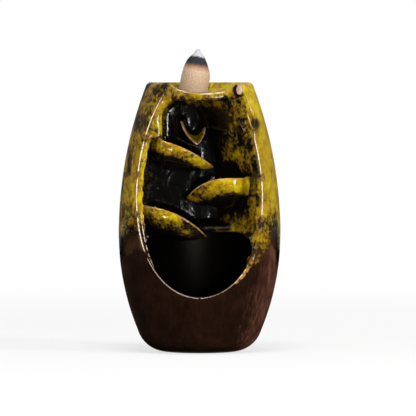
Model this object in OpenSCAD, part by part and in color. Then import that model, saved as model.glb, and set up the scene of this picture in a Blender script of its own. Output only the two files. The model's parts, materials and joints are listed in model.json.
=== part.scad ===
// Backflow incense burner: a round ceramic barrel with a dish for one incense cone on top, its front
// carved away over three leaf-shaped pools, a small spout and a deep chamber where the smoke gathers.
// X is to the right, the carved front faces -Y, and the foot stands on Z = 0.

/* [Barrel] */
// Height of the ceramic body
body_h = 125; // [118:1:150]
// Radius at the belly, where the barrel is widest
belly_r = 37.5; // [33:0.5:45]
// Height of the belly above the table
belly_z = 55; // [48:1:62]
// Radius at the rim
rim_r = 24.2; // [22:0.1:28]
// Radius at which the curve of the side would meet the table
foot_r = 23.9; // [20:0.1:28]
// Radius that rounds the barrel into its foot
foot_round = 14; // [10:0.5:16]
// Radius that rounds the top edge
top_round = 3; // [2.5:0.25:3.5]
// Thickness of the cast wall
wall = 3.2; // [2.5:0.1:4]
// Radius of the shallow recess under the foot
foot_recess_r = 10; // [6:0.5:12]
// Depth of that recess
foot_recess_depth = 1; // [0.5:0.1:1.5]

/* [Carved front] */
// Distance of the carved face in front of the axis, where it lies deepest
front_y = 19.6; // [18:0.2:22]
// Height at which the carved face lies deepest
front_z = 105; // [95:1:110]
// Radius of the hollow side view of the carved face
front_arc = 231; // [200:1:260]
// Distance of the scooped lip in front of the axis, where it lies deepest
lip_y = 14.4; // [14:0.2:18]
// Place of that deepest point to the right of the axis
lip_x = 11.2; // [8:0.2:14]
// Radius of the scoop in front of the lip, seen from above
lip_scoop_r = 71.5; // [60:0.5:90]
// Height at which the scoop starts
scoop_z = 96; // [92:1:100]
// Height over which it runs in to its full depth
scoop_run = 11; // [6:1:14]

/* [Dish and smoke hole] */
// Depth of the dish floor below the rim
dish_depth = 5.5; // [5:0.25:8]
// Radius of the flat dish floor
dish_floor_r = 13; // [11:0.25:14]
// Width of the rim around the dish
dish_rim_w = 1.6; // [1.2:0.1:2.4]
// Thickness of the clay under the dish
dish_floor_t = 3.1; // [2.5:0.1:4]
// Radius of the smoke hole
smoke_hole_r = 2; // [1.5:0.1:3]
// Place of the smoke hole to the left of the axis
smoke_hole_x = 3; // [0:0.25:4]
// Place of the smoke hole behind the axis
smoke_hole_y = 1; // [0:0.25:3]

/* [Grotto behind the pools] */
// Distance of the waterfall wall behind the axis
grotto_back = 6; // [4:0.5:10]
// Thickness of the waterfall wall
grotto_wall = 3.5; // [3:0.25:5]
// Radius of the sloping wall on the right
slope_r = 140; // [110:5:180]
// Place of its left side at the top, to the left of the axis
grotto_left = 17.2; // [15:0.2:18]
// Radius that rounds the upper left corner
grotto_corner_r = 8; // [5:0.5:10]

/* [Pools] */
// Thickness of a pool's shell
pool_t = 2.2; // [1.8:0.1:3]
// Largest radius of a pool's shell
pool_r = 13.5; // [12:0.5:14]
// Radius of the shell's curve from end to end
pool_arc = 46; // [40:1:60]
// Distance of the pools' middle in front of the axis
pool_y = 6; // [5:0.5:7]
// Radius that rounds the wide end of a pool
heel_r = 15; // [14:0.5:17]

/* [Spout] */
// Height at which the spout leaves the waterfall wall
spout_z = 107; // [104:0.5:110]
// Slope of the spout in degrees
spout_slope = 50; // [35:1:60]
// Turn of the spout to the right in degrees
spout_turn = 13; // [0:1:20]
// Largest radius of the spout
spout_r = 6.2; // [4:0.1:7]
// Radius of the spout's curve from end to end
spout_arc = 21.2; // [18:0.2:30]
// Thickness of the spout
spout_t = 1.6; // [1.2:0.1:2.2]

/* [Chamber] */
// Height of the lip at the front of the chamber
lip_z = 25.2; // [22:0.2:30]
// Height of the arch over the chamber's mouth
arch_z = 55.4; // [52:0.2:58]
// Radius of the round mouth
mouth_r = 24.6; // [22:0.2:26]
// Place of the mouth's middle to the right of the axis
mouth_x = -0.6; // [-2:0.2:2]
// Height of the mouth's edge above the lip
mouth_sill = 1.6; // [1:0.1:3]
// Radius that rounds the corners of the arch
arch_corner_r = 7; // [4:0.5:9]
// Thickness of the ledge over the arch
ledge_t = 4; // [3:0.25:5]
// Distance of the ledge's edge in front of the axis
ledge_y = 2; // [0:0.5:6]

/* [Knots on the carved edge] */
// Radius of a knot
knot_r = 2.1; // [1.8:0.1:2.6]
// Depth of its middle inside the edge
knot_inset = 1.6; // [1.2:0.1:2]

/* [Twig beside the dish] */
// Radius of the cut twig
twig_r = 2.4; // [2:0.1:3]
// Length of the twig
twig_h = 4.5; // [3.5:0.5:6]
// Place of its cut end to the right of the axis
twig_x = 18.4; // [17:0.2:20]
// Place of its cut end in front of the axis
twig_y = 15.9; // [15:0.1:17]
// Height of its cut end below the rim
twig_drop = 3.6; // [3:0.1:5]
// Turn of its cut end to the left in degrees
twig_turn = -34; // [-50:1:0]
// Tilt of its cut end upwards in degrees
twig_tilt = 12; // [0:1:30]

/* [Incense cone] */
// Radius at the foot of the cone
cone_r = 6.7; // [5:0.1:7.5]
// Height that is left of the burning cone
cone_h = 21.5; // [15:0.5:30]
// Height at which its side starts to draw in
cone_side_h = 4.5; // [3:0.5:12]
// Radius of the smoke bore
cone_bore_r = 1.6; // [1:0.1:2]
// Depth of the smoke bore
cone_bore_h = 13; // [8:0.5:14]

/* [Hidden] */
$fa = 3;
$fs = 0.5;
dish_rim_r = rim_r - dish_rim_w;
shoulder_arc = arc_radius(body_h - belly_z, belly_r - rim_r);
foot_arc = arc_radius(belly_z, belly_r - foot_r);
dish_z = body_h - dish_depth;
roof_z = dish_z - dish_floor_t;
ledge_z = arch_z + ledge_t;

// How far the lower arc of the side runs on above the belly, inside the upper one.
belly_lap = 12;

// How far a cutting shape runs past the face it cuts.
OVER = 1;

// Small distance that keeps two faces or two arcs from running along each other.
APART = 0.1;

// The sloping wall runs from its front edge to its back edge, as seen from above at the belly.
SLOPE_FRONT = [26.5, -20];
SLOPE_BACK = [10, 6];
slope_z = 68;

// Each knot: its side (-1 left, 1 right) and its height on the carved edge.
KNOTS = [[-1, 99.4], [-1, 82.3], [-1, 64], [-1, 45.2], [1, 113.8], [1, 81], [1, 62], [1, 43.3]];

// Turns the balls of the knots, so that their poles lie clear of the edge.
KNOT_TURN = [35, 20, 0];

// Each pool: its side (-1 left, 1 right), the crest of its rim measured from the axis, the height of
// the crest, the radius in which the rim bends down to the tip, the place, height and slope of the
// shell's middle, and the reach of its wide end.
POOLS = [
    [-1, 29.8, 99.5, 55, 15, 98, 15, 24.5],
    [1, 12, 80.8, 22, 13, 80.2, 0, 23.8],
    [-1, 27.5, 68, 40, 18, 67, 20, 29],
];

// Radius of the arc that draws in by run over a height h from where it stands upright.
function arc_radius(h, run) = (pow(h, 2) + pow(run, 2)) / (2 * run);

// Middle of the circle of radius r that touches the barrel's arc and the level line at height z.
function corner_x(arc, r, z) = belly_r - arc + sqrt(pow(arc - r, 2) - pow(z - belly_z, 2));

// Height at which that circle meets the arc.
function corner_z(arc, r, z) = belly_z + (z - belly_z) * arc / (arc - r);

// The half outline of the barrel up to its belly, drawn in by inset.
module foot_outline(inset) {
    x_mid = corner_x(foot_arc, foot_round, foot_round) + 2 * APART;
    z_join = corner_z(foot_arc, foot_round, foot_round);
    z_low = foot_round + (z_join - foot_round) * (foot_round - inset) / foot_round;
    translate([x_mid, foot_round]) circle(foot_round - inset);
    translate([0, inset]) square([x_mid, foot_round]);
    intersection() {
        translate([belly_r - foot_arc + APART, belly_z]) circle(foot_arc - inset);
        translate([0, z_low]) square([2 * belly_r, belly_z + belly_lap - z_low]);
    }
}

// The half outline from the belly up to height z_top.
module shoulder_outline(inset, z_top) {
    intersection() {
        translate([belly_r - shoulder_arc, belly_z]) circle(shoulder_arc - inset);
        translate([0, belly_z]) square([2 * belly_r, z_top - belly_z]);
    }
}

// The solid barrel with its rounded top edge.
module barrel() {
    z_mid = body_h - top_round;
    x_mid = corner_x(shoulder_arc, top_round, z_mid) + APART;
    rotate_extrude() {
        foot_outline(0);
        shoulder_outline(0, corner_z(shoulder_arc, top_round, z_mid));
        translate([x_mid, z_mid]) circle(top_round);
        translate([0, z_mid]) square([x_mid, top_round]);
    }
}

// The space inside the cast wall, up to height z_top.
module inside(z_top) {
    rotate_extrude() {
        foot_outline(wall);
        shoulder_outline(wall, z_top);
    }
}

// What is carved off the front: a shallow hollow in the side view, and a scoop before the lip.
module front_cut() {
    translate([0, -front_y - front_arc, front_z]) rotate([0, 90, 0])
        cylinder(r = front_arc, h = 4 * belly_r, center = true);
    translate([lip_x, -lip_y - lip_scoop_r, scoop_z]) {
        cylinder(r1 = lip_scoop_r - front_y + lip_y, r2 = lip_scoop_r, h = scoop_run);
        translate([0, 0, scoop_run - APART]) cylinder(r = lip_scoop_r, h = body_h);
    }
}

// The dish: a flat floor with a side that sweeps up to the rim.
module dish() {
    run = dish_rim_r - dish_floor_r;
    sweep_r = arc_radius(run, dish_depth);
    translate([0, 0, dish_z]) rotate_extrude() {
        square([dish_floor_r, dish_depth + OVER]);
        intersection() {
            translate([dish_floor_r, sweep_r]) circle(sweep_r);
            translate([dish_floor_r, 0]) square([run + OVER, dish_depth + OVER]);
        }
    }
}

// A flat shape drawn in X and Z, carried along Y from y_from to y_to.
module along_y(y_from, y_to) {
    translate([0, y_to, 0]) rotate([90, 0, 0]) linear_extrude(y_to - y_from) children();
}

// Front view of the grotto: wide below the crest of the first pool, narrower and rounded above it.
module grotto_outline() {
    corner = grotto_corner_r - grotto_left;
    step_z = POOLS[0][2] - pool_t / 2;
    square_from(-belly_r, ledge_z, belly_r, step_z);
    square_from(-grotto_left, ledge_z, belly_r, roof_z - grotto_corner_r);
    square_from(corner, ledge_z, belly_r, roof_z);
    translate([corner, roof_z - grotto_corner_r]) circle(grotto_corner_r);
}

// The ball whose side is the sloping wall on the right of the grotto.
module slope_ball() {
    chord = SLOPE_BACK - SLOPE_FRONT;
    mid = (SLOPE_FRONT + SLOPE_BACK) / 2;
    away = sqrt(pow(slope_r, 2) - pow(norm(chord) / 2, 2)) / norm(chord);
    translate([mid.x - chord.y * away, mid.y + chord.x * away, slope_z]) sphere(slope_r);
}

// The room in which the pools hang, with its sloping wall on the right.
module grotto() {
    intersection() {
        inside(roof_z + OVER);
        along_y(-belly_r, grotto_back) grotto_outline();
        slope_ball();
    }
}

// Front view of the chamber's mouth: round below, with an arch on top.
module mouth_outline() {
    mid_z = lip_z + mouth_sill + mouth_r;
    corner = sqrt(pow(mouth_r - arch_corner_r, 2) - pow(arch_z - arch_corner_r - mid_z, 2));
    translate([mouth_x, 0]) {
        intersection() {
            translate([0, mid_z]) circle(mouth_r);
            translate([-mouth_r, 0]) square([2 * mouth_r, arch_z - arch_corner_r]);
        }
        for (side = [-1, 1]) translate([side * corner, arch_z - arch_corner_r]) circle(arch_corner_r);
        translate([-corner, mid_z - mouth_r / 2]) square([2 * corner, arch_z - mid_z + mouth_r / 2]);
    }
}

// The chamber in which the smoke gathers. It runs up behind the waterfall wall, as the cast wall is
// thin all round.
module chamber() {
    along_y(-belly_r, 0) mouth_outline();
    intersection() {
        inside(roof_z - wall);
        union() {
            along_y(-belly_r, belly_r) square_from(-belly_r, 0, belly_r, arch_z - arch_corner_r);
            along_y(-ledge_y / 2, belly_r) square_from(-belly_r, 0, belly_r, arch_z - APART);
            along_y(grotto_back + grotto_wall, belly_r) square_from(-belly_r, 0, belly_r, body_h);
        }
    }
}

// The space in front of the ledge, between the grotto and the mouth.
module porch() {
    intersection() {
        inside(roof_z - wall);
        along_y(-belly_r, -ledge_y) square_from(-belly_r, arch_z - OVER, belly_r, ledge_z + OVER);
        slope_ball();
    }
}

// A rectangle between two corners.
module square_from(x1, z1, x2, z2) {
    translate([x1, z1]) square([x2 - x1, z2 - z1]);
}

// A pointed solid of revolution along X: an arc of radius arc, r away from the axis at its middle.
module lemon(r, arc) {
    rotate([0, 90, 0]) rotate_extrude() intersection() {
        translate([r - arc, 0]) circle(arc);
        translate([0, -arc]) square([arc, 2 * arc]);
    }
}

// The solid leaf of a pool, drawn in by inset: a lemon along its slope, rounded off at the wide end.
module leaf(mid_x, mid_z, slope, reach, inset) {
    heel = [heel_r - reach, -pool_y, mid_z];
    intersection() {
        translate([-mid_x, -pool_y, mid_z]) rotate([0, slope, 0]) lemon(pool_r - inset, pool_arc - inset);
        union() {
            translate(heel) sphere(heel_r - inset);
            translate([heel.x, heel.y - belly_r, 0]) cube([2 * belly_r, 2 * belly_r, body_h]);
        }
    }
}

// One pool, as it grows out of the left wall: a leaf-shaped shell under the bent line of its rim.
module pool(crest_x, crest_z, bend, mid_x, mid_z, slope, reach) {
    intersection() {
        difference() {
            leaf(mid_x, mid_z, slope, reach, 0);
            leaf(mid_x, mid_z, slope, reach, pool_t);
        }
        along_y(-belly_r, belly_r) {
            translate([-crest_x, crest_z - bend]) circle(bend);
            square_from(-2 * belly_r, 0, -crest_x, crest_z);
        }
    }
}

// The three pools, left, right and left again.
module pools() {
    for (p = POOLS) mirror([p[0] > 0 ? 1 : 0, 0, 0]) pool(p[1], p[2], p[3], p[4], p[5], p[6], p[7]);
}

// The small spout under the smoke hole: half a leaf that leans out of the waterfall wall.
module spout() {
    translate([-smoke_hole_x, grotto_back, spout_z]) rotate([0, 0, spout_turn - 90]) rotate([0, spout_slope, 0])
        difference() {
            lemon(spout_r, spout_arc);
            lemon(spout_r - spout_t, spout_arc - spout_t);
            translate([-spout_arc, -spout_arc, -APART]) cube(2 * spout_arc);
        }
}

// Distance of the carved edge in front of the axis, on one side at height z.
function edge_y(side, z) = side > 0 && z > scoop_z + scoop_run
    ? lip_y + OVER
    : front_y + front_arc - sqrt(pow(front_arc, 2) - pow(z - front_z, 2));

// Radius of the barrel's outside at height z.
function outer_r(z) = z >= belly_z
    ? belly_r - shoulder_arc + sqrt(pow(shoulder_arc, 2) - pow(z - belly_z, 2))
    : belly_r - foot_arc + sqrt(pow(foot_arc, 2) - pow(z - belly_z, 2));

// The knots of the bamboo-like edge, each a ball sunk into the edge.
module knots() {
    for (k = KNOTS) {
        r = outer_r(k[1]) - knot_inset;
        y = edge_y(k[0], k[1]) - knot_inset;
        translate([k[0] * sqrt(r * r - y * y), -y, k[1]]) rotate(KNOT_TURN) sphere(knot_r);
    }
}

// The cut twig that looks out of the rim beside the dish.
module twig() {
    translate([twig_x, -twig_y, body_h - twig_drop]) rotate([0, 0, twig_turn]) rotate([-90 - twig_tilt, 0, 0])
        cylinder(r = twig_r, h = twig_h);
}

module burner_body() {
    color("olive") {
        difference() {
            barrel();
            front_cut();
            dish();
            translate([-smoke_hole_x, smoke_hole_y, roof_z - OVER])
                cylinder(r = smoke_hole_r, h = dish_floor_t + 2 * OVER);
            translate([0, 0, -OVER]) cylinder(r = foot_recess_r, h = foot_recess_depth + OVER);
            difference() {
                union() {
                    chamber();
                    porch();
                    grotto();
                }
                pools();
                spout();
            }
        }
        twig();
        knots();
    }
}

// The burning cone: straight at its foot, drawn in to a point, with its smoke bore from below.
module incense_cone() {
    draw_h = cone_h - cone_side_h;
    draw_arc = arc_radius(draw_h, cone_r);
    color("burlywood") translate([-smoke_hole_x, smoke_hole_y, dish_z]) difference() {
        rotate_extrude() {
            square([cone_r, cone_side_h]);
            intersection() {
                translate([cone_r - draw_arc, cone_side_h]) circle(draw_arc);
                translate([0, cone_side_h]) square([cone_r, draw_h]);
            }
        }
        translate([0, 0, -OVER]) cylinder(r = cone_bore_r, h = cone_bore_h + OVER);
    }
}

burner_body();
incense_cone();
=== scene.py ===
"""Backflow incense burner: a cast barrel, glazed yellow, olive and black above and bare dark clay below.
Its front is carved open over leaf-shaped pools, and a burning cone stands in the dish on top."""

import json
import math
from types import SimpleNamespace

import bpy
import numpy as np
from mathutils import Matrix, Vector

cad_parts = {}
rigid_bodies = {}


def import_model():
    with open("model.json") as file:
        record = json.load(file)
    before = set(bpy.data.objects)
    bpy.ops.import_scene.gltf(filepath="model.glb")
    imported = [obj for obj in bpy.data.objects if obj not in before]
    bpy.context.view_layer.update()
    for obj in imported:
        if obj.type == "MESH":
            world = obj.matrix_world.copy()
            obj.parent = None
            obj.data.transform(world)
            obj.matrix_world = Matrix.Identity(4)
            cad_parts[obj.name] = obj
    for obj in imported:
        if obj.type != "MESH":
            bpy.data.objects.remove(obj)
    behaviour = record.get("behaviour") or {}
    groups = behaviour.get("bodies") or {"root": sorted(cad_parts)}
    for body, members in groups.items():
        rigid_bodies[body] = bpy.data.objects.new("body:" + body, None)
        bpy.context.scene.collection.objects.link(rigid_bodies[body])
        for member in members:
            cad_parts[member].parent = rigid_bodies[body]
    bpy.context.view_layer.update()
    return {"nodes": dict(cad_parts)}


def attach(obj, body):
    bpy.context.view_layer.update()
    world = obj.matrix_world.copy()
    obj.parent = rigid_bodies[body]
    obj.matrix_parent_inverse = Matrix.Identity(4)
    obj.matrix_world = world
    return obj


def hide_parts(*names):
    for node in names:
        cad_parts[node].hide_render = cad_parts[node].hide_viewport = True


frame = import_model()
MM = 0.001

# ---------------------------------------------------------------- sizes, in millimetres and degrees

# Forms that line up with the part: the barrel's arcs, the foot's rounding, the carved front and the dish.
BELLY_R, BELLY_Z = 37.5, 55.0
SHOULDER_ARC, FOOT_ARC = 191.0, 118.0
FOOT_X, FOOT_ROUND = 15.3, 14.0
FRONT_Y, FRONT_Z, FRONT_ARC = 19.6, 105.0, 231.0
BODY_H, DISH_Z = 125.0, 119.5

# The scoop before the lip: its deepest point, radius, foot and run-in.
LIP_X, LIP_Y, LIP_R = 11.2, 14.4, 71.5
SCOOP_Z, SCOOP_RUN = 96.0, 11.0

# Height of the arch over the mouth.
ARCH_Z = 55.4

# The waterfall wall, and the pools: side, place, height and bend of the rim's crest, place, height and
# slope of the shell's middle, reach of the wide end.
WALL_Y = 6.0
POOLS = [
    (-1, 29.8, 99.5, 55.0, 15.0, 98.0, 15.0, 24.5),
    (1, 12.0, 80.8, 22.0, 13.0, 80.2, 0.0, 23.8),
    (-1, 27.5, 68.0, 40.0, 18.0, 67.0, 20.0, 29.0),
]
RIGHT_POOL = POOLS[1]
POOL_R, POOL_ARC, POOL_Y, HEEL_R = 13.5, 46.0, 6.0, 15.0

# The spout: where it leaves the wall, its slope and turn, radius and end-to-end curve.
SPOUT = (-3.0, 6.0, 107.0)
SPOUT_SLOPE, SPOUT_TURN = 50.0, 13.0
SPOUT_R, SPOUT_ARC = 6.2, 21.2

# Grain of the skins, how often they are rounded off, everywhere and around the grotto and the mouth, and
# the share of its faces that the body keeps.
BODY_VOXEL, BEAD_VOXEL, CONE_VOXEL = 0.8, 0.35, 0.3
SKIN_ROUNDS, GROTTO_ROUNDS = 4, 26
BODY_SHARE = 0.72

# How far the pools' outsides are filled, and how far down.
POOL_PUSH, POOL_DEEP = 1.0, 17.0

# The rolled edge round the carving: radius, top, bottom and points on each side, how far it is set in, and
# the height from which down it is set back too, little by little.
RIM_R, RIM_TOP, RIM_LOW, RIM_POINTS = 0.75, 122.4, 25.4, 60
RIM_SET = RIM_R * 0.6
SET_BACK_Z, SET_BACK_RUN = 45.0, 10.0

# Every rolled edge is thin at its ends: share of its radius there, and what each further point adds.
BEAD_END, BEAD_SWELL = 0.35, 0.1

# The second edges: radius, greatest depth behind the carved face, points, and share that sinks in. For
# each: side, upper and lower height, and distance from the rim at its upper end.
INNER_R, INNER_DEEP, INNER_POINTS, INNER_SINK = 0.55, 1.2, 24, 0.3
INNER_EDGES = {"inner_edge_left": (-1, 67.0, 36.0, 1.8), "inner_edge_right": (1, 111.0, 102.5, 2.4)}

# The edge on the dish's lip: radius, ends, distance behind the scoop, points, and share that sinks in.
LIP_EDGE_R, LIP_FROM, LIP_TO, LIP_SET, LIP_POINTS, LIP_SINK = 0.8, -13.5, 14.5, 0.6, 40, 0.5

# The knots on the carved edge: side and height. The blot is the dark pool of glaze on the right edge.
KNOTS = [(-1, 99.4), (-1, 82.3), (-1, 64.0), (-1, 45.2), (1, 81.0), (1, 62.0), (1, 43.3)]
BLOT_Z = 106.0

# The cut twig beside the dish: place of its face, turn, tilt and roll, radius, length, how narrow its
# oval is, rounding of its edge, and how far the face stands out.
TWIG = Vector((18.4, -15.9, 121.4))
TWIG_TURN, TWIG_TILT, TWIG_ROLL = -34.0, 12.0, 14.0
TWIG_R, TWIG_H, TWIG_OVAL, TWIG_EDGE, TWIG_OUT = 2.45, 4.5, 0.72, 0.5, 0.25

# The incense cone: its foot, then height, radius and lean of each ring from the top of its bore, and the
# size and depth of its crumbs.
CONE_X, CONE_Y = -3.0, 1.0
CONE_RINGS = [
    (13.0, 1.6, 0.0), (0.0, 1.6, 0.0), (0.0, 6.3, 0.0), (0.35, 6.65, 0.05), (2.5, 6.7, 0.3), (4.5, 6.8, 0.6),
    (6.5, 6.8, 0.9), (8.5, 6.7, 1.2), (10.5, 6.35, 1.3), (12.0, 5.9, 1.3), (13.5, 5.4, 1.35),
    (15.0, 4.75, 1.45), (16.5, 3.95, 1.6), (18.0, 2.7, 2.0), (19.3, 1.75, 2.25), (20.3, 1.15, 2.35),
    (20.9, 0.6, 2.4),
]
CRUMB, CRUMB_DEPTH = 0.9, 0.35

# Where the char and the ash begin above the dish, how steeply both lines fall to the right, and the
# place across the cone at which they have their height.
CHAR_H, ASH_H, CHAR_LEAN, CHAR_X = 13.6, 17.4, 0.17, CONE_X + 1.8

# ---------------------------------------------------------------- helpers

def pick(piece):
    """Selects one object alone and makes it active."""
    bpy.ops.object.select_all(action="DESELECT")
    piece.select_set(True)
    bpy.context.view_layer.objects.active = piece


def settle(piece):
    """Moves a piece's place, turn and scale into its mesh."""
    pick(piece)
    bpy.ops.object.transform_apply(location=True, rotation=True, scale=True)


def use(piece, kind, **settings):
    """Adds one modifier and applies it."""
    pick(piece)
    m = piece.modifiers.new(kind.title(), kind)
    for name, value in settings.items():
        setattr(m, name, value)
    bpy.ops.object.modifier_apply(modifier=m.name)


def drop_specks(piece):
    """Deletes the loose specks that a remesh leaves: all that isn't joined to the highest point."""
    pick(piece)
    bpy.ops.object.mode_set(mode="EDIT")
    bpy.ops.mesh.select_mode(type="VERT")
    bpy.ops.mesh.select_all(action="DESELECT")
    bpy.ops.object.mode_set(mode="OBJECT")
    highest = int(points(piece)[0][:, 2].argmax())
    piece.data.vertices[highest].select = True
    bpy.ops.object.mode_set(mode="EDIT")
    bpy.ops.mesh.select_linked()
    bpy.ops.mesh.select_all(action="INVERT")
    bpy.ops.mesh.delete(type="VERT")
    bpy.ops.object.mode_set(mode="OBJECT")


def even_skin(piece, voxel):
    """Covers a piece with one even skin of small faces."""
    use(piece, "REMESH", mode="VOXEL", voxel_size=voxel * MM, adaptivity=0.0)


def copy_of(node, name):
    """A merged copy of a CAD node's mesh."""
    piece = bpy.data.objects.new(name, frame["nodes"][node].data.copy())
    bpy.context.scene.collection.objects.link(piece)
    piece.data.materials.clear()
    pick(piece)
    bpy.ops.object.mode_set(mode="EDIT")
    bpy.ops.mesh.select_all(action="SELECT")
    bpy.ops.mesh.remove_doubles(threshold=1e-6)
    bpy.ops.object.mode_set(mode="OBJECT")
    return piece


def smooth(piece):
    """Shades a whole piece smooth."""
    pick(piece)
    bpy.ops.object.shade_smooth()


def step(low, high, value):
    """A soft step from 0 at low to 1 at high, also for high below low."""
    f = np.clip((value - low) / (high - low), 0, 1)
    return f * f * (3 - 2 * f)


def points(piece):
    """Places in millimetres, normals and edges of a piece's points."""
    mesh = piece.data
    count = len(mesh.vertices)
    co = np.empty(count * 3, np.float32)
    mesh.vertices.foreach_get("co", co)
    normal = np.empty(count * 3, np.float32)
    mesh.vertices.foreach_get("normal", normal)
    edges = np.empty(len(mesh.edges) * 2, np.int32)
    mesh.edges.foreach_get("vertices", edges)
    co, normal = co.reshape(-1, 3).astype(float) / MM, normal.reshape(-1, 3).astype(float)
    return co, normal, edges.reshape(-1, 2)


def blurred(values, edges, rounds):
    """Evens out columns of numbers between neighbouring points."""
    a, b = edges.T
    ends, others = np.concatenate([a, b]), np.concatenate([b, a])
    count = len(values)
    degree = np.maximum(np.bincount(ends, minlength=count), 1)
    soft = values.copy()
    for _ in range(rounds):
        mean = [np.bincount(ends, column[others], minlength=count) / degree for column in soft.T]
        soft = 0.5 * soft + 0.5 * np.stack(mean, 1)
    return soft


def paint(piece, name, value):
    """Keeps one number per point for the material to read."""
    layer = piece.data.attributes.new(name, "FLOAT", "POINT")
    layer.data.foreach_set("value", value.astype(np.float32))


# ---------------------------------------------------------------- the barrel's forms

def front_at(z):
    """Distance of the carved face in front of the axis at height z."""
    return FRONT_Y + FRONT_ARC - np.sqrt(np.maximum(FRONT_ARC ** 2 - (z - FRONT_Z) ** 2, 0))


def outer_r(z):
    """Radius of the barrel's outside at height z."""
    arc = np.where(z > BELLY_Z, SHOULDER_ARC, FOOT_ARC)
    return BELLY_R - arc + np.sqrt(np.maximum(arc ** 2 - (z - BELLY_Z) ** 2, 0))


def foot_gap(r, z):
    """How far each point lies from the rounding of the foot."""
    gap = np.abs(FOOT_ROUND - np.hypot(np.maximum(r - FOOT_X, 0), FOOT_ROUND - z))
    return np.where(z < FOOT_ROUND, gap, BODY_H)


def scoop_point(side, r, z):
    """Where the scoop before the lip meets a circle of radius r at height z."""
    depth = min(max((z - SCOOP_Z) / SCOOP_RUN, 0), 1)
    scoop = LIP_R - (FRONT_Y - LIP_Y) * (1 - depth)
    middle = Vector((LIP_X, -LIP_Y - LIP_R))
    reach = middle.length
    along = (r * r - scoop * scoop + reach * reach) / (2 * reach)
    across = math.sqrt(max(r * r - along * along, 0))
    to_middle = middle / reach
    return to_middle * along + Vector((-to_middle.y, to_middle.x)) * across * side


def rim_point(side, z, inset=0.0):
    """A point of the carved edge, on the left (-1) or right (1), drawn in by inset."""
    r = outer_r(z) - inset
    y = -min(front_at(z), r)
    point = Vector((side * math.sqrt(max(r * r - y * y, 0)), y))
    if z > SCOOP_Z:
        scooped = scoop_point(side, r, z)
        if scooped.y > point.y:
            point = scooped
    low = min(max((SET_BACK_Z - z) / SET_BACK_RUN, 0), 1)
    return Vector((point.x, point.y + inset * low, z)) * MM


def near_pool(p, pool):
    """How far each point stands out of a pool's outside, and how far it lies below the pool's rim."""
    side, crest_x, crest_z, bend, mid_x, mid_z, slope, reach = pool
    c, s = math.cos(math.radians(slope)), math.sin(math.radians(slope))
    left, y, z = -side * p[:, 0], p[:, 1] + POOL_Y, p[:, 2]
    along = (left + mid_x) * c - (z - mid_z) * s
    up = (left + mid_x) * s + (z - mid_z) * c
    shell = POOL_R - POOL_ARC + np.sqrt(np.maximum(POOL_ARC ** 2 - along ** 2, 0))
    lemon = np.hypot(y, up) - shell
    heel_x = HEEL_R - reach
    heel = np.sqrt((left - heel_x) ** 2 + y ** 2 + (z - mid_z) ** 2) - HEEL_R
    surface = np.maximum(lemon, np.minimum(heel, heel_x - left))
    fall = np.maximum(left + crest_x, 0)
    rim = crest_z - bend + np.sqrt(np.maximum(bend ** 2 - fall ** 2, 0))
    return surface, rim - z


def on_spout(p):
    """The hollow of the spout and its rim, each from 0 to 1."""
    slope, turn = math.radians(SPOUT_SLOPE), math.radians(SPOUT_TURN - 90)
    along = np.array((math.cos(slope) * math.cos(turn), math.cos(slope) * math.sin(turn), -math.sin(slope)))
    out = np.array((math.sin(slope) * math.cos(turn), math.sin(slope) * math.sin(turn), math.cos(slope)))
    q = p - np.array(SPOUT)
    u, w = q @ along, q @ out
    across = np.sqrt(np.maximum((q ** 2).sum(1) - u ** 2 - w ** 2, 0))
    shell = SPOUT_R - SPOUT_ARC + np.sqrt(np.maximum(SPOUT_ARC ** 2 - u ** 2, 0))
    free = step(WALL_Y - 0.6, WALL_Y - 1.6, p[:, 1]) * (u < SPOUT_ARC) * (shell > 0)
    hollow = free * step(0.4, -0.4, w) * step(-0.6, -1.1, np.hypot(across, w) - shell)
    lip = free * step(1.1, 0.5, np.abs(w)) * step(0.9, 0.3, np.abs(across - shell + 0.6))
    return hollow, lip


# ---------------------------------------------------------------- the pieces

def burner():
    """The whole ceramic body as one skin, its edges rounded most around the grotto and the mouth."""
    body = copy_of("burner_body", "burner")
    even_skin(body, BODY_VOXEL)
    drop_specks(body)
    use(body, "SMOOTH", factor=0.5, iterations=SKIN_ROUNDS)
    round_grotto(body)
    belly_out(body)
    use(body, "DECIMATE", ratio=BODY_SHARE)
    smooth(body)
    return body


def round_grotto(body):
    """Rounds the edges of the grotto and the mouth off, and leaves the skin and the pools sharp."""
    co = points(body)[0]
    x, y, z = co.T
    deep = step(2.5, 4.5, outer_r(z) - np.hypot(x, y)) * step(116.5, 114, z) * (y < 0)
    soft = step(5, 2, np.abs(y + front_at(z))) * deep
    for pool in POOLS:
        soft = soft * step(1.5, 5, np.abs(near_pool(co, pool)[0]))
    group = body.vertex_groups.new(name="soft")
    for i in np.nonzero(soft > 0.02)[0]:
        group.add([int(i)], float(soft[i]), "REPLACE")
    use(body, "SMOOTH", factor=0.5, iterations=GROTTO_ROUNDS, vertex_group="soft")


def belly_out(body):
    """Fills the pools' outsides a little below their rims, so that they stand upright there."""
    co = points(body)[0]
    push = np.zeros(len(co))
    for pool in POOLS:
        gap, below = near_pool(co, pool)
        out = step(1.5, 0.8, np.abs(gap)) * step(POOL_DEEP, 6, below) * step(WALL_Y, -4, co[:, 1])
        push = np.maximum(push, POOL_PUSH * out * step(0.3, 5.3, below))
    co[:, 1] -= push
    body.data.vertices.foreach_set("co", (co * MM).astype(np.float32).ravel())
    body.data.update()


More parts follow.
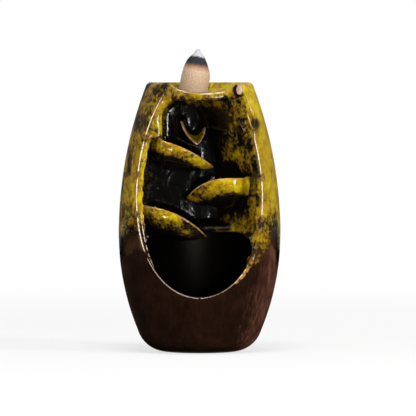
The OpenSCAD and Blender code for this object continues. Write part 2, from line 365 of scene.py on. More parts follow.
def bead(line, radius, name):
    """A rolled edge of glaze along a line of points, thinner at both ends."""
    bpy.ops.object.select_all(action="DESELECT")
    bpy.ops.curve.primitive_nurbs_path_add()
    tube = bpy.context.object
    tube.data.splines.clear()
    spline = tube.data.splines.new("POLY")
    spline.points.add(len(line) - 1)
    for i, (spot, p) in enumerate(zip(spline.points, line)):
        spot.co = (*p, 1)
        spot.radius = min(1, BEAD_END + BEAD_SWELL * min(i, len(line) - 1 - i))
    tube.data.bevel_depth = radius * MM
    tube.data.bevel_resolution = 3
    tube.data.use_fill_caps = True
    pick(tube)
    bpy.ops.object.convert(target="MESH")
    piece = bpy.context.object
    piece.name = name
    even_skin(piece, BEAD_VOXEL)
    drop_specks(piece)
    use(piece, "SMOOTH", factor=0.5, iterations=SKIN_ROUNDS)
    smooth(piece)
    return piece


def rim_bead():
    """The rolled edge round the whole carving."""
    heights = [RIM_LOW + (RIM_TOP - RIM_LOW) * (i / RIM_POINTS) ** 2 for i in range(RIM_POINTS + 1)]
    line = [rim_point(-1, z, RIM_SET) for z in reversed(heights)]
    line += [rim_point(1, z, RIM_SET) for z in heights[1:]]
    return bead(line, RIM_R, "rim_bead")


def inner_edge(body, name):
    """A thin second edge on the carved face, which runs into the rim at its lower end."""
    side, high, low, inset = INNER_EDGES[name]
    line = []
    for i in range(INNER_POINTS + 1):
        share = i / INNER_POINTS
        p = rim_point(side, high + (low - high) * share, RIM_SET)
        x = p.x - side * inset * (1 - share ** 4) * MM
        place, normal = body.ray_cast(Vector((x, -0.1, p.z)), Vector((0, 1, 0)))[1:3]
        deepest = (INNER_DEEP - front_at(p.z / MM)) * MM
        line.append(Vector((x, min(place.y, deepest), p.z)) - normal * INNER_R * INNER_SINK * MM)
    return bead(line, INNER_R, name)


def lip_edge(body):
    """A thin rolled edge along the dish's front lip, laid on the body from above."""
    line = []
    for i in range(LIP_POINTS + 1):
        x = LIP_FROM + (LIP_TO - LIP_FROM) * i / LIP_POINTS
        y = LIP_SET - LIP_Y - LIP_R + math.sqrt(LIP_R ** 2 - (x - LIP_X) ** 2)
        place, normal = body.ray_cast(Vector((x, y, BODY_H + 20)) * MM, Vector((0, 0, -1)))[1:3]
        line.append(place - normal * LIP_EDGE_R * LIP_SINK * MM)
    return bead(line, LIP_EDGE_R, "lip_edge")


def twig_face():
    """The pale cut face of the twig, a short oval peg with a rounded edge."""
    bpy.ops.object.select_all(action="DESELECT")
    bpy.ops.mesh.primitive_cylinder_add(vertices=48, radius=TWIG_R * MM, depth=TWIG_H * MM)
    peg = bpy.context.object
    peg.name = "twig_face"
    use(peg, "BEVEL", width=TWIG_EDGE * MM, segments=3)
    paint(peg, "twig_cut", step(-0.35, -0.05, points(peg)[0][:, 2] - TWIG_H / 2))
    turn = Matrix.Rotation(math.radians(TWIG_TURN), 4, "Z")
    turn = turn @ Matrix.Rotation(math.radians(90 - TWIG_TILT), 4, "X")
    turn = turn @ Matrix.Rotation(math.radians(TWIG_ROLL), 4, "Z")
    oval = Matrix.Diagonal((TWIG_OVAL, 1, 1, 1))
    sunk = Matrix.Translation((0, 0, (TWIG_OUT - TWIG_H / 2) * MM))
    peg.matrix_world = Matrix.Translation(TWIG * MM) @ turn @ oval @ sunk
    settle(peg)
    smooth(peg)
    return peg


def leaning_cone():
    """The burning cone, drawn up ring by ring from the top of its bore, leaning a little to the right."""
    bpy.ops.object.select_all(action="DESELECT")
    bore_h, bore_r, _ = CONE_RINGS[0]
    place = Vector((CONE_X, CONE_Y, DISH_Z + bore_h)) * MM
    bpy.ops.mesh.primitive_circle_add(vertices=64, radius=bore_r * MM, fill_type="NGON", location=place)
    piece = bpy.context.object
    piece.name = "burning_cone"
    settle(piece)
    bpy.ops.object.mode_set(mode="EDIT")
    bpy.ops.mesh.select_all(action="SELECT")
    for (h0, r0, lean0), (h1, r1, lean1) in zip(CONE_RINGS, CONE_RINGS[1:]):
        bpy.ops.mesh.extrude_region_move()
        bpy.ops.transform.translate(value=((lean1 - lean0) * MM, 0, (h1 - h0) * MM))
        middle = Vector((CONE_X + lean1, CONE_Y, DISH_Z + h1)) * MM
        bpy.ops.transform.resize(value=(r1 / r0, r1 / r0, 1), center_override=middle)
    bpy.ops.mesh.select_all(action="SELECT")
    bpy.ops.mesh.normals_make_consistent(inside=False)
    bpy.ops.object.mode_set(mode="OBJECT")
    even_skin(piece, CONE_VOXEL)
    crumbs = bpy.data.textures.new("crumbs", "CLOUDS")
    crumbs.noise_scale = CRUMB * MM
    use(piece, "DISPLACE", texture=crumbs, texture_coords="LOCAL", strength=CRUMB_DEPTH * MM, mid_level=0.75)
    use(piece, "SMOOTH", factor=0.4, iterations=2)
    smooth(piece)
    return piece


# ---------------------------------------------------------------- what the glaze does, point by point

# Height of the hem, where the glaze ends on the outside: its level, its swing, how far it drops at each
# side, its waves (height, waves to a turn, start) and its drips on the right (height, place, width).
HEM_Z, HEM_SWING, HEM_DROP = 47.0, 3.0, 6.5
HEM_WAVES = [(1.6, 5, 40), (0.9, 13, 0)]
HEM_DRIPS = [(3.4, 62, 9), (-3.5, 44, 7)]

# The height over the hem that the glaze inside the carving gets, and how much more the mouth gets, which
# makes it dull. Then for the low right rim: its least height, what the droplets add, and how close they are.
INSIDE_OVER, MOUTH_OVER = 12.0, 8.0
RIM_OVER, DROPLET_OVER, DROPLET_WAVE = 2.0, 4.0, 2.4

# How yellow the glaze runs, from 0, black, to 1: on the barrel and on the carved face.
BARREL_YELLOW, FACE_YELLOW = 0.51, 0.64

# How far down each pool shows yellow before it turns black, partly glaze and partly painted shade on the
# pool's lower part, how much of that is lost at its tip, and how strong it is.
LEAF_DEPTH = (9.0, 11.5, 13.5)
LEAF_TIP = (0.0, 0.32, 0.5)
LEAF_GAIN = (0.70, 0.81, 0.61)

# How pale the broken edges are: the pools' rims, the spout's lip, the knots, the droplets beside the mouth
# with the arch over it, and the painted highlight along a rolled edge.
POOL_RIM, SPOUT_LIP, KNOT_PALE, DROPLET_PALE, PAINTED_HIGHLIGHT = 0.58, 0.7, 0.34, 0.5, 0.95

# Which way a surface faces where the painted highlight of a rolled edge lies: to the front, and on the lip,
# seen from its end, forward and up.
FRONT_WAYS = (0.0, -0.99, 0.14)
LIP_WAYS = (-0.80, 0.60)

# How often a piece is evened out to find its edges, and how far an edge then stands out in millimetres; how
# often the yellow is evened out.
BODY_BLUR, BODY_BULGE = 6, 0.30
BEAD_BLUR, BEAD_BULGE = 3, 0.6
YELLOW_BLUR = 6


def survey(piece):
    """Where each point of a piece lies: on the barrel's outside, on the carved face or inside the carving,
    each from 0 to 1, and how near it is to the low right rim."""
    co, normal, edges = points(piece)
    x, y, z = co.T
    r = np.hypot(x, y)
    outer, front = outer_r(z), front_at(z)
    top = step(118.3, 119.3, z)
    outside = np.maximum(step(2.2, 0.8, np.minimum(outer - r, foot_gap(r, z))), top)
    scoop = np.abs(np.hypot(x - LIP_X, y + LIP_Y + LIP_R) - LIP_R)
    carved = np.minimum(np.abs(y + front), np.where(z > SCOOP_Z, scoop, BODY_H))
    face = step(3.0, 1.0, carved) * step(0, -1, y) * (1 - outside)
    edge_x = np.sqrt(np.maximum(outer ** 2 - front ** 2, 0))
    beside = np.abs(np.abs(x) - edge_x) / (1 + step(38, 46, z))
    near_rim = step(1.6, 0.3, beside) * step(0, 2, x) * step(27, 36, z) * (y < 0)
    return SimpleNamespace(
        co=co, normal=normal, edges=edges, x=x, y=y, z=z, r=r,
        turn=np.degrees(np.arctan2(x, -y)), aside=x / np.maximum(r, 18),
        outside=outside, face=face, inside=(1 - outside) * (1 - face), near_rim=near_rim)


def hem_at(turn):
    """Height of the hem of the glaze, all round the barrel: it hangs lower at the sides."""
    hem = HEM_Z + HEM_SWING * np.cos(np.radians(turn * 2))
    hem = hem - HEM_DROP * step(66, 84, turn) - HEM_DROP * step(-60, -95, turn)
    for height, waves, start in HEM_WAVES:
        hem = hem + height * np.sin(np.radians(turn * waves + start))
    for height, place, width in HEM_DRIPS:
        hem = hem + height * np.exp(-((turn - place) / width) ** 2)
    return hem


def over_hem(at):
    """How far above the hem each point lies. Low on the right rim the glaze beads up in droplets."""
    droplets = 1 - (0.5 + 0.5 * np.sin(at.z * DROPLET_WAVE)) * step(41, 39, at.z)
    on_rim = at.near_rim * (RIM_OVER + DROPLET_OVER * droplets) - 3
    in_mouth = at.inside * step(59, 56, at.z)
    above = np.maximum(at.z - hem_at(at.turn), on_rim)
    return np.where(at.inside + at.face > 0.5, INSIDE_OVER + MOUTH_OVER * in_mouth, above)


def yellow_outside(at, above):
    """How yellow the glaze runs on the barrel and on the carved face, with painted side light making the
    barrel's right brighter and its left shoulder darker.
    """
    x, z, turn, aside, outside, face = at.x, at.z, at.turn, at.aside, at.outside, at.face
    wide = np.abs(x)

    # Brighter on the barrel's right, partly glaze and partly painted side light, darker on the right of the
    # carved face and on the brow of the grotto.
    right = step(-0.42, 0.42, aside)
    yellow = outside * (BARREL_YELLOW + 0.15 * right)
    yellow = yellow + face * (FACE_YELLOW - 0.26 * right * step(118, 112, z))
    yellow = yellow - 0.12 * face * step(22, 18, wide) * step(115, 116.5, z)
    yellow = yellow - 0.22 * face * step(117.5, 114.5, z) * step(112, 114, z) * step(16, 13, wide)

    # Brighter left of the carving, darker low on the right, and the right shoulder bright and the left one
    # dark, partly glaze and partly painted side light.
    yellow = yellow + 0.07 * outside * step(-20, -40, turn) * step(-72, -60, turn) * step(58, 70, z)
    yellow = yellow - 0.13 * outside * step(30, 40, turn) * step(80, 66, turn) * step(64, 57, z)
    shoulders = 0.10 * step(0.34, 0.71, aside) - 0.13 * step(-0.34, -0.71, aside)
    yellow = yellow + outside * step(95, 112, z) * shoulders

    # Black just over the hem at both sides, and a little darker at the far right.
    yellow = yellow * (1 - 0.8 * step(11, 2, above) * outside * step(35, 75, np.abs(turn)))
    yellow = yellow * (1 - 0.85 * step(14, 5, above) * outside * step(-0.42, -0.71, aside))
    yellow = yellow * (1 - 0.26 * step(24, 12, above) * outside * step(0.86, 0.96, aside))

    # The carved face is darker at the top, and black left of the mouth and under it.
    yellow = yellow - 0.11 * face * step(114, 116, z) * step(19, 15, wide)
    by_mouth = np.maximum(step(62, 56, z) * step(0, -4, x), step(40, 34, z))
    return yellow * (1 - 0.9 * face * by_mouth)


def yellow_inside(at):
    """How yellow the glaze runs inside the carving: on its edges, the sloping wall and the ledge."""
    x, y, z = at.x, at.y, at.z
    seep = np.maximum(step(-12.5, -16.5, x), 0.8 * step(111.5, 114, z)) * step(96, 99, z) * step(14, 8, x)
    seep = np.maximum(seep, 0.8 * step(-21.5, -25, x) * step(62, 67, z) * step(97, 93, z))
    slope = step(4, 14, x) * step(52, 60, z) * step(0.15, -0.35, at.normal[:, 0]) * step(9, 4, y)
    slope = slope * step(-1.0, 7.5, near_pool(at.co, RIGHT_POOL)[0] + 9 * step(80, 86, z))
    slope = slope * (0.36 + 0.12 * step(102, 88, z))
    ledge = step(4, 9, x) * step(54.5, 55.5, z) * step(60, 57.5, z) * step(WALL_Y - 1, WALL_Y - 4, y)
    return at.inside * (0.50 * seep + np.maximum(slope, 0.62 * ledge))


def on_pools(at):
    """Where no pool lies, how yellow the pools' outsides are, yellow under the rim and black further down in
    glaze and painted shade, and their rims, each from 0 to 1.
    """
    bare, leaves, rims = np.ones(len(at.z)), np.zeros(len(at.z)), np.zeros(len(at.z))
    for pool, depth, tip, gain in zip(POOLS, LEAF_DEPTH, LEAF_TIP, LEAF_GAIN):
        gap, below = near_pool(at.co, pool)
        on = step(2.2, 1.4, gap) * step(-1.6, -0.8, gap)
        on = on * step(WALL_Y, WALL_Y - 4, at.y) * step(-1.2, -0.4, below) * (1 - at.outside)
        bare = bare * (1 - on)
        # Yellow under the rim, black further down: glaze, and painted shade on the pool's lower part.
        leaf = on * (step(depth, 0.4 * depth, below) - 0.1) * step(0.45, 0.1, at.normal[:, 1])
        leaves = np.maximum(leaves, gain * leaf * (1 - tip * step(-12, 0, -pool[0] * at.x)))
        shell = step(-2.9, -2.3, gap) * step(1.3, 0.7, gap)
        rims = np.maximum(rims, shell * step(1.1, 0.5, np.abs(below)) * step(WALL_Y, WALL_Y - 5, at.y))
    return bare, leaves, rims


def on_knots(at):
    """The knots of the carved edge, from 0 to 1."""
    knots = np.zeros(len(at.z))
    for side, height in KNOTS:
        middle = np.array(rim_point(side, height) / MM)
        knots = np.maximum(knots, step(2.6, 1.2, np.sqrt(((at.co - middle) ** 2).sum(1))))
    return knots


def twig_painted_shadow(at):
    """Black glaze and painted shadow left of the twig and under it, on the side away from the light, from 0
    to 1.
    """
    away = at.co - np.array(TWIG)
    lit = 0.8 * away[:, 0] + 0.6 * away[:, 2]
    return step(3.8, 2.8, np.sqrt((away ** 2).sum(1))) * step(0.9, -0.3, lit)


def painted_highlight_line(at, on_lip):
    """A painted highlight along the crest of a rolled edge, where it faces the front, from 0 to 1."""
    if on_lip:
        upright = at.normal[:, 1:]
        facing = upright @ np.array(LIP_WAYS) / np.maximum(np.hypot(*upright.T), 0.3)
        fade = 0.4 * np.exp(-((at.x + 3) / 4.5) ** 2)
    else:
        facing = at.normal @ np.array(FRONT_WAYS)
        fade = 0.8 * step(0, 2, at.x) * step(65, 60, at.z) * step(34, 40, at.z)
        fade = fade + 0.35 * step(0, 8, at.x) * step(40, 34, at.z)
    return (1 - fade) * step(0.90, 0.98, facing)


def glaze_fields(piece, rounds, edge_mm, line=0.0, on_lip=False):
    """Works out, for each point, where glaze lies, how yellow it runs with painted light and shade, where it
    breaks on an edge, and the painted highlight along a rolled edge.
    """
    at = survey(piece)
    bulge = ((at.co - blurred(at.co, at.edges, rounds)) * at.normal).sum(1)
    sharp = step(0.25 * edge_mm, edge_mm, bulge)
    above = over_hem(at)
    paint(piece, "glaze_above", above)

    knots, shade = on_knots(at), twig_painted_shadow(at)
    middle = np.array(rim_point(1, BLOT_Z) / MM)
    from_blot = np.sqrt(((at.co - middle) ** 2 * (1.3, 1.3, 0.5)).sum(1))
    blots = step(5.6, 1.0, from_blot)
    bare, leaves, rims = on_pools(at)
    hollow, lip = on_spout(at.co)

    yellow = (yellow_outside(at, above) + yellow_inside(at)) * bare
    yellow = blurred(yellow[:, None], at.edges, YELLOW_BLUR)[:, 0]
    yellow = np.maximum(yellow - 0.16 * at.outside * at.near_rim * step(54, 47, at.z), leaves)
    # Darker on the knots, and black under the twig's painted shadow and on the dark blot of glaze.
    yellow = yellow * (1 - 0.35 * knots) * (1 - np.maximum(0.8 * shade, 0.50 * blots)) + 0.02
    paint(piece, "glaze_yellow_and_painted_light", np.clip(np.maximum(yellow, 0.62 * hollow), 0, 1))

    # The painted highlight along a rolled edge's crest, left out on the knots and the blot.
    crest = line * painted_highlight_line(at, on_lip) * (1 - np.maximum(knots, blots))
    arch = sharp * at.inside * step(2.2, 0.8, np.abs(at.z - ARCH_Z)) * step(3, 8, at.x) * (at.y < 0)
    droplets = at.near_rim * at.outside * step(43, 39, at.z)
    broken = SPOUT_LIP * lip + KNOT_PALE * knots + DROPLET_PALE * (droplets + arch) + crest
    paint(piece, "glaze_edge_and_highlight", np.maximum(POOL_RIM * rims * sharp ** 0.5, broken))

    in_front = step(0.97, 0.88, np.abs(at.x) / np.maximum(at.r, 1)) * (at.y < 0)
    paint(piece, "glaze_brown", at.outside * step(10, 3, above) * in_front)
    high_right = step(0.34, 0.71, at.aside) * step(62, 78, at.z)
    paint(piece, "glaze_calm", at.outside * high_right * step(3.5, 6.5, from_blot))


# ---------------------------------------------------------------- materials

# Noises: features to the millimetre, detail, roughness, distortion, and stretch along each way.
CLOUD = (0.11, 4, 0.6, 0.5)
SPECK = (0.60, 5, 0.75, 0.2)
DRIP = (0.45, 3, 0.6, 0.2, (1, 1, 0.16))
TINT = (0.21, 3, 0.6, 0.4)
STREAK = (0.7, 4, 0.65, 0.1, (1, 1, 0.05))
CREAM_SPOTS = (0.6, 3, 0.6)
POWDER = (2.2, 4, 0.7)
SCORCH = (0.35, 3, 0.6)

# Colours by thickness, read from a number that also carries painted light and shade: the glaze from black
# over olive to yellow, and where it runs amber.
YELLOW_GLAZE = [
    (0.28, (0.0040, 0.0034, 0.0026)),
    (0.36, (0.014, 0.010, 0.004)),
    (0.44, (0.065, 0.042, 0.007)),
    (0.54, (0.19, 0.122, 0.004)),
    (0.68, (0.37, 0.262, 0.004)),
    (0.90, (0.60, 0.465, 0.005)),
]
AMBER_GLAZE = [
    (0.28, (0.0040, 0.0034, 0.0026)),
    (0.38, (0.016, 0.009, 0.003)),
    (0.47, (0.085, 0.040, 0.007)),
    (0.58, (0.25, 0.130, 0.006)),
    (0.90, (0.48, 0.30, 0.007)),
]
STARVED_GLAZE = (0.058, 0.026, 0.0085)

# Glaze broken on an edge, from a brown tinge over orange to cream, and clay rubbed pale on an edge; both also
# carry the painted highlights along the rolled edges.
BROKEN_EDGE_AND_HIGHLIGHT = [(0.1, (0.16, 0.07, 0.010)), (0.55, (0.52, 0.25, 0.06)), (0.82, (0.92, 0.85, 0.72))]
WORN_CLAY_AND_HIGHLIGHT = (0.38, 0.30, 0.26)

# The bare clay, and the lighter, redder clay painted on as side light towards the barrel's sides; the sheen
# of clay and of the mouth.
DARK_CLAY = [
    (0.20, (0.0080, 0.0026, 0.0012)),
    (0.50, (0.0135, 0.0048, 0.0022)),
    (0.85, (0.0240, 0.0088, 0.0042)),
]
SIDE_LIT_CLAY = [
    (0.25, (0.026, 0.0090, 0.0045)),
    (0.50, (0.062, 0.021, 0.0105)),
    (0.80, (0.140, 0.049, 0.024)),
]
CLAY_SHEEN, MOUTH_SHEEN = (0.22, 0.11, 0.07), (0.50, 0.42, 0.36)
CLAY_ROUGH, GLAZE_ROUGH, MOUTH_ROUGH = 0.85, 0.09, 0.3

# The twig's cut face and its glazed side.
CUT_FACE = [(0.3, (0.42, 0.22, 0.15)), (0.5, (0.60, 0.38, 0.28)), (0.75, (0.74, 0.55, 0.44))]
TWIG_SIDE = (0.16, 0.10, 0.008)

# The incense from the foot up.
TAN = [(0.3, (0.38, 0.23, 0.14)), (0.5, (0.61, 0.43, 0.29)), (0.7, (0.77, 0.59, 0.43))]
TOAST = (0.26, 0.12, 0.055)
CHAR = [(0.3, (0.014, 0.014, 0.018)), (0.7, (0.045, 0.045, 0.055))]
ASH = [(0.3, (0.44, 0.44, 0.47)), (0.7, (0.66, 0.66, 0.70))]


def new_material(name):
    """A new material with nothing in its node tree."""
    material = bpy.data.materials.new(name)
    material.use_nodes = True
    material.node_tree.nodes.clear()
    return material, material.node_tree


def finish_material(tree, surface):
    """Sends a shader to the material's output."""
    out = node(tree, "OutputMaterial")
    tree.links.new(surface, out.inputs["Surface"])


def node(tree, kind, inputs=None, **settings):
    """Adds a shader node. An input is a value or the output that feeds it."""
    n = tree.nodes.new("ShaderNode" + kind)
    for name, value in settings.items():
        setattr(n, name, value)
    for name, value in (inputs or {}).items():
        if isinstance(value, bpy.types.NodeSocket):
            tree.links.new(value, n.inputs[name])
        else:
            n.inputs[name].default_value = value
    return n


def calc(tree, operation, *values):
    """One sum on single numbers."""
    return node(tree, "Math", dict(enumerate(values)), operation=operation).outputs[0]


def stirred(tree, value, noise, amount):
    """Adds noise to a number, as far up as down."""
    return calc(tree, "MULTIPLY_ADD", calc(tree, "SUBTRACT", noise, 0.5), amount, value)


def spread(tree, value, low, high, to_low=0.0, to_high=1.0):
    """Carries value from one range to another, softly and clamped."""
    ranges = {"Value": value, "From Min": low, "From Max": high, "To Min": to_low, "To Max": to_high}
    return node(tree, "MapRange", ranges, interpolation_type="SMOOTHSTEP").outputs[0]


def grain(tree, place, scale, detail, roughness, distortion=0.0, stretch=(1, 1, 1)):
    """Noise with about scale features to the millimetre."""
    where = node(tree, "Mapping", {"Vector": place, "Scale": [scale * s / MM for s in stretch]}).outputs[0]
    look = {"Vector": where, "Scale": 1.0, "Detail": detail, "Roughness": roughness, "Distortion": distortion}
    return node(tree, "TexNoise", look).outputs[0]


def shades(tree, value, stops):
    """A colour ramp from (place, colour) stops."""
    ramp = node(tree, "ValToRGB", {"Fac": value})
    marks = ramp.color_ramp.elements
    while len(marks) < len(stops):
        marks.new(0.5)
    for mark, (place, color) in zip(marks, stops):
        mark.position = place
        mark.color = (*color, 1)
    return ramp.outputs[0]


def blend(tree, factor, a, b):
    """Mixes two colours."""
    mix = node(tree, "Mix", {0: factor}, data_type="RGBA")
    for socket, value in ((mix.inputs[6], a), (mix.inputs[7], b)):
        if isinstance(value, bpy.types.NodeSocket):
            tree.links.new(value, socket)
        else:
            socket.default_value = (*value, 1)
    return mix.outputs[2]


def kept(tree, name):
    """Reads one of the numbers that a piece keeps per point."""
    return node(tree, "Attribute", attribute_name=name).outputs["Fac"]


def glaze_and_clay():
    """Yellow, olive and black glaze that breaks orange on its edges, over bare brown clay, with painted
    light, shade and highlights.
    """
    material, tree = new_material("glaze_and_clay")
    place = node(tree, "TexCoord").outputs["Object"]
    above, edge = kept(tree, "glaze_above"), kept(tree, "glaze_edge_and_highlight")
    cloud, speck, drip, streak = (grain(tree, place, *noise) for noise in (CLOUD, SPECK, DRIP, STREAK))
    # Broken and rubbed edges together with the painted highlights, stirred by specks.
    wear_and_highlight = stirred(tree, edge, speck, 0.7)
    glaze = glaze_colors(tree, place, cloud, speck, drip, wear_and_highlight)
    clay = clay_colors(tree, place, cloud, streak, wear_and_highlight)

    # Glaze down to a ragged hem, clay below it.
    ragged = stirred(tree, stirred(tree, above, drip, 7.0), speck, 3.0)
    glazed = spread(tree, ragged, -0.3, 0.3)
    color = blend(tree, glazed, clay, glaze)
    in_mouth = spread(tree, above, 13, 20)
    rough = spread(tree, glazed, 0, 1, CLAY_ROUGH, GLAZE_ROUGH)
    rough = calc(tree, "MULTIPLY_ADD", in_mouth, MOUTH_ROUGH, rough)
    sheen = blend(tree, glazed, CLAY_SHEEN, (1, 1, 1))
    sheen = blend(tree, in_mouth, sheen, MOUTH_SHEEN)

    # The glaze ripples and stands proud of the clay, the clay has brush streaks.
    ripple = calc(tree, "MULTIPLY", calc(tree, "MULTIPLY", cloud, glazed), 0.3)
    bare = calc(tree, "SUBTRACT", 1.0, glazed)
    brushed = calc(tree, "MULTIPLY", calc(tree, "MULTIPLY", streak, bare), 0.12)
    proud = calc(tree, "MULTIPLY", glazed, 0.12)
    height = calc(tree, "ADD", calc(tree, "ADD", ripple, brushed), proud)
    bump = node(tree, "Bump", {"Height": height, "Strength": 0.6, "Distance": MM}).outputs[0]
    surface = node(tree, "BsdfPrincipled", {
        "Base Color": color, "Roughness": rough, "Normal": bump, "Specular IOR Level": 0.4,
        "Specular Tint": sheen,
    })
    finish_material(tree, surface.outputs[0])
    return material


def glaze_colors(tree, place, cloud, speck, drip, wear_and_highlight):
    """Mottled glaze, yellow where it is thin and where painted light falls, darker under painted shade, brown
    where it starves over the hem, pale on its edges and along the painted highlights.
    """
    mottle = stirred(tree, stirred(tree, stirred(tree, 0.0, cloud, 1.2), speck, 1.1), drip, 0.2)
    calm = spread(tree, kept(tree, "glaze_calm"), 0, 1, 1.0, 0.65)
    # The yellow number holds the glaze's thickness together with painted side light and painted shade.
    thin = calc(tree, "MULTIPLY_ADD", mottle, calm, kept(tree, "glaze_yellow_and_painted_light"))
    amber = spread(tree, grain(tree, place, *TINT), 0.40, 0.62)
    glaze = blend(tree, amber, shades(tree, thin, YELLOW_GLAZE), shades(tree, thin, AMBER_GLAZE))
    starved = calc(tree, "MULTIPLY", kept(tree, "glaze_brown"), spread(tree, thin, 0.62, 0.40))
    glaze = blend(tree, calc(tree, "MULTIPLY", starved, 0.7), glaze, STARVED_GLAZE)
    return blend(tree, spread(tree, wear_and_highlight, 0.2, 0.5), glaze, shades(tree, wear_and_highlight, BROKEN_EDGE_AND_HIGHLIGHT))


def clay_colors(tree, place, cloud, streak, wear_and_highlight):
    """Dark brushed clay, painted lighter and redder as side light at the barrel's right, left and left back,
    pale where an edge is rubbed and along the painted highlights of the rolled edges.
    """
    earth = stirred(tree, cloud, streak, 0.9)
    spot = node(tree, "SeparateXYZ", {0: place}).outputs
    side = calc(tree, "ARCTAN2", spot["X"], calc(tree, "MULTIPLY", spot["Y"], -1))
    side = stirred(tree, side, streak, 0.9)
    # Painted side light: lighter, redder clay on the right side, at the far left and a little at the left
    # back.
    side_lit = calc(tree, "ADD", spread(tree, side, 0.62, 1.2), spread(tree, side, -1.1, -1.5, 0, 0.7))
    side_lit = calc(tree, "ADD", side_lit, spread(tree, side, -1.7, -2.7, 0, 0.3))
    clay = blend(tree, side_lit, shades(tree, earth, DARK_CLAY), shades(tree, earth, SIDE_LIT_CLAY))
    return blend(tree, spread(tree, wear_and_highlight, 0.35, 0.75), clay, WORN_CLAY_AND_HIGHLIGHT)


def cut_wood():
    """The pale pink-cream face of the twig, with amber glaze down its side."""
    material, tree = new_material("twig_cream")
    place = node(tree, "TexCoord").outputs["Object"]
    cream = shades(tree, grain(tree, place, *CREAM_SPOTS), CUT_FACE)
    color = blend(tree, spread(tree, kept(tree, "twig_cut"), 0.3, 0.7), TWIG_SIDE, cream)
    surface = node(tree, "BsdfPrincipled", {
        "Base Color": color, "Roughness": 0.12, "Specular IOR Level": 0.4,
    })
    finish_material(tree, surface.outputs[0])
    return material


def incense():
    """Pressed incense powder: tan, toasted under the char, and pale ash at the tip."""
    material, tree = new_material("incense")
    place = node(tree, "TexCoord").outputs["Object"]
    spot = node(tree, "SeparateXYZ", {0: place}).outputs
    powder, scorch = grain(tree, place, *POWDER), grain(tree, place, *SCORCH)
    aside = calc(tree, "SUBTRACT", spot["X"], CHAR_X * MM)
    level = calc(tree, "MULTIPLY_ADD", aside, CHAR_LEAN, spot["Z"])
    level = stirred(tree, stirred(tree, level, scorch, 2.0 * MM), powder, 1.2 * MM)
    char_z, ash_z = (DISH_Z + CHAR_H) * MM, (DISH_Z + ASH_H) * MM
    toasted = spread(tree, level, char_z - 3.5 * MM, char_z)
    charred = spread(tree, level, char_z - 1.2 * MM, char_z + 0.7 * MM)
    ashen = spread(tree, level, ash_z - 0.5 * MM, ash_z + 0.5 * MM)
    color = blend(tree, toasted, shades(tree, powder, TAN), TOAST)
    color = blend(tree, charred, color, shades(tree, powder, CHAR))
    color = blend(tree, ashen, color, shades(tree, powder, ASH))
    bump = node(tree, "Bump", {"Height": powder, "Strength": 0.5, "Distance": 0.35 * MM}).outputs[0]
    surface = node(tree, "BsdfPrincipled", {
        "Base Color": color, "Roughness": 0.9, "Normal": bump, "Specular IOR Level": 0.2,
    })
    finish_material(tree, surface.outputs[0])
    return material


# ---------------------------------------------------------------- the room, in metres

# The camera of the photograph: its place, what it looks at, the width that it sees there, the width of its
# film, and how far it sees.
CAMERA_AT, CAMERA_AIM = Vector((0.0039, -2.0, 0.125)), Vector((0.0039, 0.0, 0.0665))
VIEW_WIDTH, FILM_WIDTH, CLIP_END = 0.193, 36, 50

# The lamps: name, place, size and watts. All aim at the burner's middle.
LAMP_AIM = (0, 0, 0.07)
LAMPS = [
    ("key_right", (1.2, -0.8, 0.6), (0.35, 0.6), 12),
    ("fill_left", (-1.2, -0.9, 0.5), (0.12, 0.7), 3),
    ("top", (0.0, -0.5, 1.1), (0.5, 0.25), 7.5),
    ("window", (0.22, -1.8, 0.07), (0.21, 0.14), 2.8),
]

# The cards, which only the glaze's reflections see: name, place, size, turn, and whether it is black cloth.
CARDS = [
    ("card_top", (0, -1.3, 2.9), (5.4, 3.2), (0, 0, 0), True),
    ("card_floor", (0, -1.0, 0.001), (5.4, 3.8), (0, 0, 0), True),
    ("card_front", (0, -2.9, 1.5), (5.4, 3.0), (90, 0, 0), True),
    ("card_side", (-1.7, -1.0, 1.5), (3.0, 3.8), (0, 90, 0), True),
    ("card_rear", (-0.95, 0.9, 0.3), (1.5, 0.6), (90, 0, 0), False),
    ("card_side", (1.7, -1.0, 1.5), (3.0, 3.8), (0, 90, 0), True),
    ("card_rear", (0.95, 0.9, 0.3), (1.5, 0.6), (90, 0, 0), False),
]
# How brightly the cards glow: black cloth, and a grey that stands in for lit paper in the reflections.
BLACK_CLOTH, GREY_GLOW = 0.004, 0.12

# How much light the white surround sheds, the size and white of the floor, and how the floor's own glow
# grows from near the burner to further out.
SURROUND_LIGHT, FLOOR_SIZE, PAPER_WHITE = 0.3, 30, (0.92, 0.92, 0.92, 1)
GLOW_NEAR, GLOW_FAR, NEAR_GLOW = 0.1, 0.7, 0.70


def camera():
    """The camera of the photograph: almost level, from far away."""
    bpy.ops.object.select_all(action="DESELECT")
    bpy.ops.object.camera_add(location=CAMERA_AT)
    cam = bpy.context.object
    sight = CAMERA_AIM - cam.location
    cam.rotation_euler = sight.to_track_quat("-Z", "Y").to_euler()
    cam.data.sensor_width = FILM_WIDTH
    cam.data.lens = FILM_WIDTH * sight.length / VIEW_WIDTH
    cam.data.clip_end = CLIP_END
    bpy.context.scene.camera = cam


def lamp(name, place, size, watts):
    """A soft rectangular lamp."""
    bpy.ops.object.select_all(action="DESELECT")
    bpy.ops.object.light_add(type="AREA", location=place)
    o = bpy.context.object
    o.name = name
    o.data.shape = "RECTANGLE"
    o.data.size, o.data.size_y = size
    o.data.energy = watts
    o.visible_camera = False
    o.rotation_euler = (Vector(LAMP_AIM) - Vector(place)).to_track_quat("-Z", "Y").to_euler()


def card(name, place, size, turn, material):
    """A card beside the camera or behind the burner, which only shows in what the glaze reflects."""
    bpy.ops.object.select_all(action="DESELECT")
    bpy.ops.mesh.primitive_plane_add(size=1, location=place, rotation=[math.radians(a) for a in turn])
    o = bpy.context.object
    o.name = name
    o.scale = (*size, 1)
    o.data.materials.append(material)
    o.visible_camera = False
    o.visible_diffuse = False
    o.visible_shadow = False
    o.visible_transmission = False


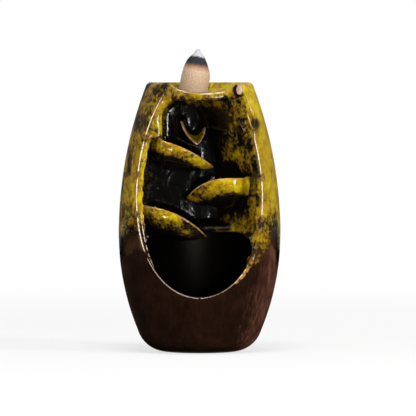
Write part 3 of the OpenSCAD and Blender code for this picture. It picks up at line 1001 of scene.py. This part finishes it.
def dull(name, shade):
    """An even glow for the cards, black for the cloth and grey for the paper, which stands in for lit cards
    in the reflections.
    """
    material, tree = new_material(name)
    surface = node(tree, "Emission", {"Color": (shade, shade, shade, 1), "Strength": 1.0})
    finish_material(tree, surface.outputs[0])
    return material


def shown(tree):
    """1 for the rays that show the background: straight from the camera, reflected or let through."""
    path = node(tree, "LightPath")
    seen = calc(tree, "MAXIMUM", path.outputs["Is Camera Ray"], path.outputs["Is Glossy Ray"])
    return calc(tree, "MAXIMUM", seen, path.outputs["Is Transmission Ray"])


def pale_floor():
    """White paper: it shows white, and keeps a soft shadow near the object."""
    material, tree = new_material("pale_floor")
    place = node(tree, "TexCoord").outputs["Object"]
    far = node(tree, "VectorMath", {0: place}, operation="LENGTH").outputs["Value"]
    glow = calc(tree, "MULTIPLY", spread(tree, far, GLOW_NEAR, GLOW_FAR, NEAR_GLOW, 1.0), shown(tree))
    paper = node(tree, "BsdfDiffuse", {"Color": PAPER_WHITE}).outputs[0]
    white = node(tree, "Emission", {"Color": (1, 1, 1, 1), "Strength": 1.0}).outputs[0]
    finish_material(tree, node(tree, "MixShader", {0: glow, 1: paper, 2: white}).outputs[0])
    return material


def room():
    """A pale floor, a white surround, cards for the reflections and soft lamps."""
    scene = bpy.context.scene
    scene.view_settings.view_transform = "Standard"
    world = bpy.data.worlds.new("surround")
    scene.world = world
    world.use_nodes = True
    tree = world.node_tree
    tree.nodes.clear()
    strength = spread(tree, shown(tree), 0, 1, SURROUND_LIGHT, 1.0)
    back = node(tree, "Background", {"Color": (1, 1, 1, 1), "Strength": strength})
    out = node(tree, "OutputWorld")
    tree.links.new(back.outputs[0], out.inputs["Surface"])

    bpy.ops.object.select_all(action="DESELECT")
    bpy.ops.mesh.primitive_plane_add(size=FLOOR_SIZE, location=(0, 0, 0))
    floor = bpy.context.object
    floor.name = "floor"
    floor.data.materials.append(pale_floor())

    cloth, paper = dull("black_cloth", BLACK_CLOTH), dull("grey_glow", GREY_GLOW)
    for name, place, size, turn, black in CARDS:
        card(name, place, size, turn, cloth if black else paper)
    for name, place, size, watts in LAMPS:
        lamp(name, place, size, watts)


# ---------------------------------------------------------------- build

body = burner()
glaze_fields(body, BODY_BLUR, BODY_BULGE)
rim = rim_bead()
second_edges = [inner_edge(body, name) for name in INNER_EDGES]
lip = lip_edge(body)
for piece in (rim, *second_edges, lip):
    glaze_fields(piece, BEAD_BLUR, BEAD_BULGE, line=PAINTED_HIGHLIGHT, on_lip=piece is lip)
ware, cream = glaze_and_clay(), cut_wood()
twig = twig_face()
for piece in (body, rim, *second_edges, lip, twig):
    piece.data.materials.clear()
    piece.data.materials.append(cream if piece is twig else ware)
    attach(piece, "root")
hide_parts("burner_body")

cone = leaning_cone()
cone.data.materials.append(incense())
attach(cone, "root")
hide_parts("incense_cone")

room()
camera()
